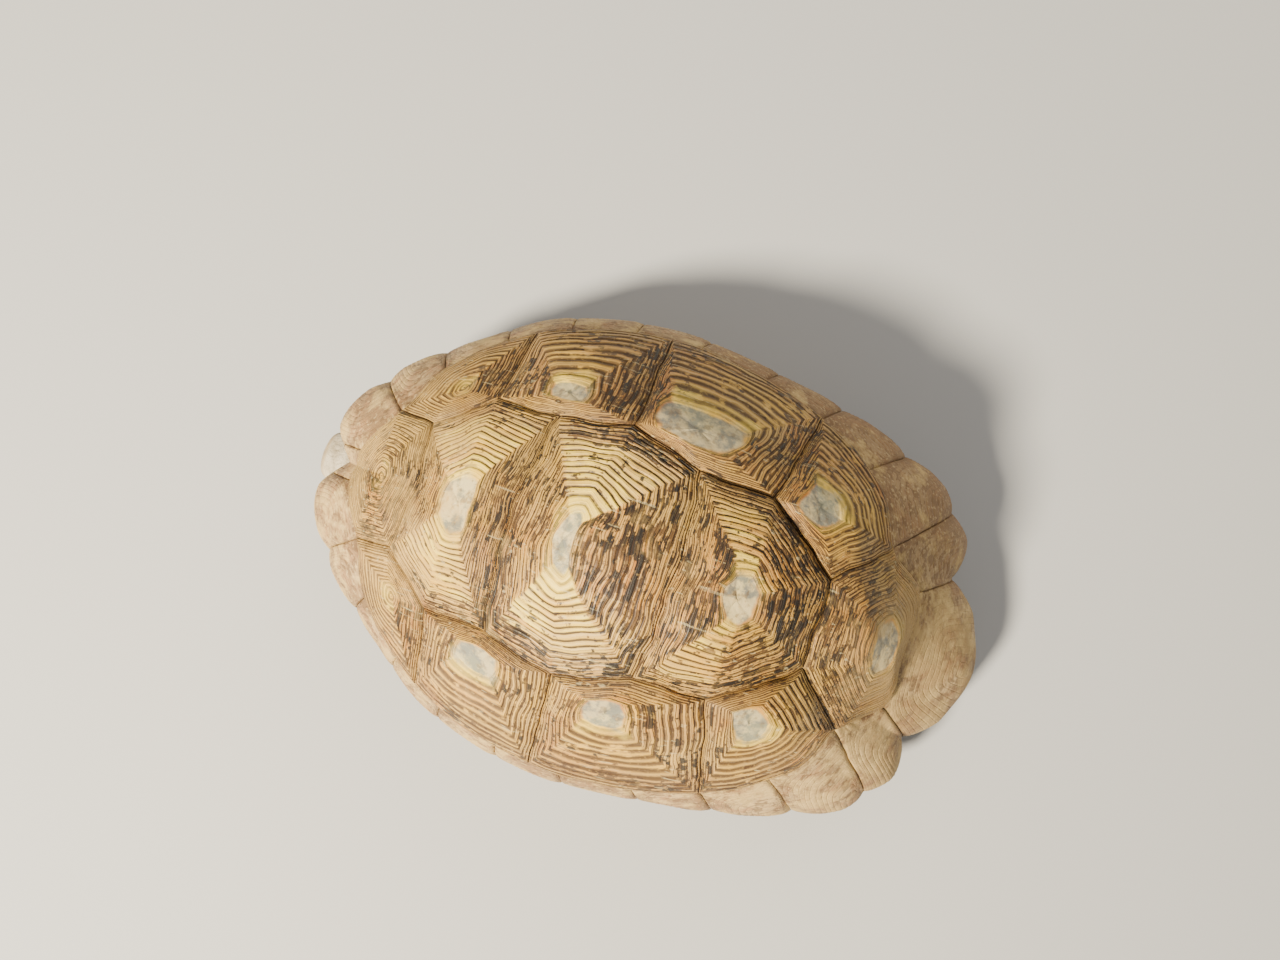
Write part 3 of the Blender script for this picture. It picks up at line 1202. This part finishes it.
def head_places(at):
    """Behind the snout, beside the midline, height, height of the mouth there, and
    distance from the nostril in nostrils.
    """
    x, y, z = at.T
    s, side = y - SNOUT, np.abs(x)
    nose = np.hypot((side - 0.0014) / 0.00055, (z - 0.0240) / 0.00050)
    return s, side, z, through(MOUTH, s), nose


def smooth(bm, verts):
    bmesh.ops.smooth_vert(bm, verts=verts, factor=0.5, use_axis_x=True, use_axis_y=True,
                          use_axis_z=True)


def pebbled(vert, count, width, depth):
    """Sink a corner that lies in a gap between pebbles."""
    gaps = noise.voronoi(vert.co * count)[0]
    rise = min((gaps[1] - gaps[0]) / width, 1.0)
    vert.co += vert.normal * depth * (rise - 1)


def shape_head(bm):
    """Eyelids, brows, beak, mouth, nostrils and eardrums, pushed out of the smooth head."""
    verts = list(compress(bm.verts, on_head(corners(bm.verts))))
    at = corners(verts)
    normal = np.array([vert.normal for vert in verts])
    s, side, z, line, nose = head_places(at)
    push = np.zeros(len(at))
    for size, s_middle, s_width, z_middle, z_width, full in BULGES:
        push += (size * near(s, s_middle, s_width) * near(z, z_middle, z_width)
                 * ramp(side, 0.004, full))
    # mouth, with the beak a little over the lower jaw
    gape = 1 - ramp(s, 0.0155, 0.0172)
    push -= 0.0007 * near(z, line, 0.00042) * gape
    push -= 0.0004 * (1 - ramp(z, line - 0.0012, line)) * gape * ramp(z, 0.0135, 0.0150)
    push += 0.0003 * near(z, line + 0.0012, 0.0008) * gape
    # eardrum
    ear = np.hypot((s - 0.0232) / 0.0026, (z - 0.0212) / 0.0029)
    flank = ramp(side, 0.006, 0.009)
    push -= 0.00045 * near(ear, 1.0, 0.22) * flank
    push -= 0.00018 * (1 - ramp(ear, 0.7, 1.0)) * flank
    # nostrils
    push -= 0.0010 * (1 - ramp(nose, 0.5, 1.3)) * (1 - ramp(s, 0.0015, 0.0030))
    pushed = at + normal * push[:, None]
    # lids round the eye, and the opening between them
    dy, dz = at[:, 1] - EYE.y, z - EYE.z
    slit = np.hypot(dy / EYE_OPEN[0], (dz + 0.1 * dy) / EYE_OPEN[1])
    ball = EYE.x + np.sqrt(np.maximum(EYE_RADIUS ** 2 - dy ** 2 - dz ** 2, 0))
    lid = ball + 0.00032 - 0.0002 * near(slit, 1.9, 0.25)
    cheek = ramp(side, 0.0045, 0.0060)
    x = np.abs(pushed[:, 0])
    x = x + (np.maximum(lid, x) - x) * (1 - ramp(slit, 1.45, 2.3)) * cheek
    x = x + (ball - 0.0012 - x) * (1 - ramp(slit, 0.80, 1.02)) * cheek
    pushed[:, 0] = np.sign(at[:, 0]) * x
    for vert, point in zip(verts, pushed):
        vert.co = point
    bm.normal_update()
    # flat scales over the crown, small ones on the cheeks
    calm = (1 - near(slit, 0.8, 0.9)) * (1 - near(z, line, 0.0012) * gape) * ramp(s, 0.003, 0.006)
    calm = calm * (1 - (1 - ramp(ear, 0.8, 1.1)) * flank)
    for vert, quiet, high in zip(verts, calm, z):
        count, depth = CROWN_SCALES if high > 0.0265 else CHEEK_SCALES
        pebbled(vert, count, 0.15, depth * quiet)


def pebble_limbs(bm):
    """Low pebbles of skin over limbs, neck and tail."""
    at = corners(bm.verts)
    _, y, z = at.T
    limbs = (z > 0.0012) & (z < 0.046) & (np.abs(y) > 0.0585) & ~on_head(at, HEAD_BACK - 0.002)
    for vert in compress(bm.verts, limbs):
        pebbled(vert, PEBBLES, 0.3, PEBBLE_DEPTH)
        vert.co.z = max(vert.co.z, 0.0)


def mark_flesh(bm):
    """Keep where the head, the beak and the dark folds are."""
    at = corners(bm.verts)
    s, side, z, line, nose = head_places(at)
    face = on_head(at)
    head = face * (1 - 0.55 * ramp(s, 0.008, 0.020) - 0.45 * ramp(s, 0.024, 0.035))
    tilt = 0.28 * np.abs(z - line)
    beak = face * (1 - ramp(s, 0.0044 - tilt, 0.0060 - tilt))
    beak = np.maximum(beak, face * near(z, line, 0.0016) * (1 - ramp(s, 0.012, 0.016)))
    gape = near(z, line, 0.00030) * (1 - ramp(s, 0.0155, 0.017)) * face
    slit = np.hypot((at[:, 1] - EYE.y) / EYE_OPEN[0], (z - EYE.z) / EYE_OPEN[1])
    lids = near(slit, 1.05, 0.35) * ramp(side, 0.0045, 0.006) * face
    holes = (1 - ramp(nose, 0.6, 1.2)) * (1 - ramp(s, 0.0015, 0.003)) * face
    dark = np.clip(gape * 0.9 + lids * 0.55 + holes * 0.9, 0, 1)
    mark(bm, "flesh", np.stack([head, beak * (1 - lids), dark], -1))


def make_skin(finish):
    bm = one_skin()
    smooth(bm, [vert for vert in bm.verts if abs(vert.co.y) > 0.05])
    bm.normal_update()
    middles = np.array([face.calc_center_median() for face in bm.faces])
    front = list(compress(bm.faces, on_head(middles, FACE_BACK)))
    edges = list({edge for face in front for edge in face.edges})
    bmesh.ops.subdivide_edges(bm, edges=edges, cuts=1, use_grid_fill=True)
    fresh = list(compress(bm.verts, on_head(corners(bm.verts), FACE_BACK)))
    for _ in range(2):
        smooth(bm, fresh)
    bm.normal_update()
    shape_head(bm)
    pebble_limbs(bm)
    mark_flesh(bm)
    nodes = ["trunk", "neck", "head", "tail"]
    nodes += [f"leg_{kind}_{word}" for kind in ("front", "hind") for word in ("left", "right")]
    return finish_piece(bm, "whole_skin", finish, nodes)


def make_eyes(finish):
    for side, word in ((1, "left"), (-1, "right")):
        bm = bmesh.new()
        bmesh.ops.create_uvsphere(bm, u_segments=EYE_CELLS[0], v_segments=EYE_CELLS[1],
                                  radius=EYE_RADIUS)
        bmesh.ops.rotate(bm, verts=bm.verts, matrix=Matrix.Rotation(math.radians(90), 3, "Y"))
        x, y, z = corners(bm.verts).T
        out = np.where(x * side > 0, np.hypot(y, z) / EYE_RADIUS, 1.5)
        mark(bm, "iris", np.stack([out, 0 * out, 0 * out], -1))
        bmesh.ops.translate(bm, verts=bm.verts, vec=(EYE.x * side, EYE.y, EYE.z))
        finish_piece(bm, f"wet_eye_{word}", finish, (f"eye_{word}",))


# ---- claws and scales
# Claws of a foot: limb, spread in degrees, how many, and how far out they start.
CLAWS = ((FRONT_LEG, (-44, 64), 5, 0.0088), (HIND_LEG, (34, 118), 4, 0.0106))
# Rows of scales down the front of a foreleg: height, how many, and their length.
SCALE_ROWS = ((0.0286, 5, 0.0054), (0.0256, 6, 0.0058), (0.0224, 7, 0.0060),
              (0.0192, 7, 0.0060), (0.0160, 7, 0.0058), (0.0128, 8, 0.0053),
              (0.0098, 8, 0.0048), (0.0070, 9, 0.0040), (0.0046, 10, 0.0030))
HEEL_ROWS = ((0.0060, 9, 0.0032), (0.0095, 7, 0.0034))
SPURS = ((-52, 0.0175, 0.0056), (-74, 0.0150, 0.0042), (-34, 0.0185, 0.0040))
SCALE_CELLS = 6
SCALE_SUNK = 0.00035       # how deep the root of a scale lies in the skin


def way_out(degrees, side, heading, rise=0.0):
    """Direction out of a limb, turned away from its heading to the animal's side."""
    turn = math.radians(degrees)
    return math.sin(turn) * side, heading * math.cos(turn), rise


def make_claws(finish):
    whole = bmesh.new()
    t = np.linspace(0, 1, 9)
    height = 0.0040 - 0.0002 * t - 0.0026 * t ** 2
    thick = 0.0017 * (1 - 0.72 * t ** 1.6)
    high = np.minimum(thick * 0.95, height - 0.0003)
    for side in (1, -1):
        for leg, spread, count, reach in CLAWS:
            x, y, heading = foot_of(leg, side)
            for degrees in np.linspace(*spread, count):
                out = way_out(degrees, side, heading)
                run = reach + (-0.0026 + 0.0080 * t)
                centres = (x, y, 0) + np.outer(run, out) + np.outer(height, (0, 0, 1))
                across = (out[1], -out[0], 0)
                add_to(whole, round_form(centres, thick, high, across, columns=12, power=2.0))
    finish_piece(whole, "claws", finish, ())


def scale_shape(length, width, thick):
    """One shield-shaped scale lying on its back, root at the origin, tip along +Y."""
    bm, i, j = grid_of(SCALE_CELLS, SCALE_CELLS)
    u, v = i / SCALE_CELLS * 2 - 1, j / SCALE_CELLS
    outline = np.sqrt(np.maximum(0.04, 1 - (2 * np.abs(v - 0.42) / 1.16) ** 2.6))
    crown = (1 - u ** 2) * (0.35 + 0.65 * np.sin(np.pi * v ** 0.8))
    place(bm, np.stack([u * width / 2 * outline, v * length, thick * crown], -1))
    mark(bm, "scale", np.stack([v, 0 * v, 0 * v], -1))
    face_out(bm)
    bmesh.ops.solidify(bm, geom=bm.faces[:], thickness=0.0005)
    weld(bm)
    return bm


def scale_places(rng):
    """For each scale: a point in the limb, the way out, length, width, thickness, lift."""
    tail = np.array(TAIL_PATH)
    for side in (1, -1):
        x, y, heading = foot_of(FRONT_LEG, side)
        for level, (height, count, length) in enumerate(SCALE_ROWS):
            rise = 0.12 if height > 0.02 else 0
            for degrees in np.linspace(-74, 84, count) + (6 if level % 2 else -4):
                size = length * rng.uniform(0.9, 1.1)
                width = size * rng.uniform(0.78, 0.96)
                out = way_out(degrees, side, heading, rise)
                yield (x, y + 0.001, height), out, size, width, 0.0008, 0.13
        x, y, heading = foot_of(HIND_LEG, side)
        for height, count, length in HEEL_ROWS:
            for degrees in np.linspace(-100, 130, count):
                out = way_out(degrees, side, heading)
                yield (x, y, height), out, length, length * 0.95, 0.0006, 0.06
        for degrees, height, length in SPURS:
            out = way_out(degrees, side, heading)
            yield (x, y, height), out, length, length * 0.62, 0.0016, 0.55
        for along in 0.070 + 0.0062 * np.arange(5):
            across, high, radius = [np.interp(along, tail[:, 1], tail[:, k]) for k in (0, 2, 3)]
            out = (side * 0.55, 0.1, 0.8)
            yield (across, along, high), out, radius * 0.62, radius * 0.55, 0.0004, 0.05


def make_scales(skin, finish):
    """Scales down the front of each foreleg and on the tail, spurs, and heel scales."""
    tree = BVHTree.FromObject(skin, bpy.context.evaluated_depsgraph_get())
    rng = np.random.default_rng(7)
    whole = bmesh.new()
    kept = whole.verts.layers.float_vector.new("scale")
    patch = whole.loops.layers.uv.new("OFBake")
    down = Vector((0, 0, -1))
    for inside, out, length, width, thick, lift in scale_places(rng):
        out = Vector(out).normalized()
        hit, normal, _, _ = tree.ray_cast(Vector(inside) + out * 0.03, -out, 0.04)
        if hit is None:
            continue
        if normal.dot(out) < 0.2:
            normal = out
        tip = (down - normal * down.dot(normal)).normalized()
        tip = (tip + normal * lift).normalized()
        across = tip.cross(normal).normalized()
        turn = Matrix((across, tip, across.cross(tip))).transposed().to_4x4()
        root = Matrix.Translation(hit - normal * SCALE_SUNK - tip * length * 0.25)
        first = len(whole.verts)
        add_to(whole, scale_shape(length, width, thick), root @ turn)
        whole.verts.ensure_lookup_table()
        tone = rng.uniform(0, 1)
        # Each scale has its own spot in the map, by its place on the body.
        u = (math.atan2(hit.y, hit.x) / math.tau) % 1.0 * 0.98 + 0.003 * tone
        v = 0.05 + hit.z * 18
        for vert in whole.verts[first:]:
            share = vert[kept][0]
            vert[kept] = (share, tone, 0)
            for loop in vert.link_loops:
                loop[patch].uv = (u, v + 0.003 * share)
    finish_piece(whole, "limb_scales", finish, ())


# ---- stage
LAMPS = (                  # name, place, width, power, colour
    ("key", (0.53, -0.40, 0.76), 0.16, 39.0, (1.0, 0.915, 0.74)),
    ("fill", (-0.70, 0.10, 0.62), 0.80, 4.0, (1.0, 0.98, 0.95)))
LIT = Vector((0, 0, 0.03))
SKY = (1.0, 0.975, 0.94, 1.0)
SKY_STRENGTH = 0.32
FLOOR_COLOUR = (0.46, 0.45, 0.43)
CAMERA_PLACE = (-0.00556, -0.00596, 0.32194)
CAMERA_TURN = (3.738, -0.116, 108.775)


def make_stage():
    bm = bmesh.new()
    bmesh.ops.create_grid(bm, x_segments=1, y_segments=1, size=3.0)
    floor = in_scene("floor", as_mesh(bm, "floor"))
    floor.data.materials.append(Finish("pale_floor", roughness=0.9, specular=0.1).done(FLOOR_COLOUR))
    floor.location.z = -0.0002

    world = bpy.data.worlds.new("studio")
    world.use_nodes = True
    sky = world.node_tree.nodes["Background"]
    sky.inputs["Color"].default_value = SKY
    sky.inputs["Strength"].default_value = SKY_STRENGTH
    bpy.context.scene.world = world

    for name, spot, size, power, colour in LAMPS:
        light = bpy.data.lights.new(name, "AREA")
        light.shape = "DISK"
        light.size = size
        light.energy = power
        light.color = colour
        lamp = in_scene(name, light)
        lamp.location = spot
        lamp.rotation_euler = (LIT - Vector(spot)).to_track_quat("-Z", "Y").to_euler()


def make_camera():
    lens = bpy.data.cameras.new("camera")
    lens.sensor_width = 36.0
    lens.lens = 26.0
    lens.clip_start = 0.01
    camera = in_scene("camera", lens)
    camera.location = CAMERA_PLACE
    camera.rotation_euler = [math.radians(angle) for angle in CAMERA_TURN]
    bpy.context.scene.camera = camera


def main():
    horn = ringed_horn()
    make_vertebrals(horn)
    make_costals(horn)
    make_rim(rim_horn())
    make_plastron(plastron_horn())
    skin = make_skin(dry_skin())
    make_eyes(dark_eye())
    make_claws(claw_horn())
    make_scales(skin, scale_horn())
    make_stage()
    make_camera()


main()
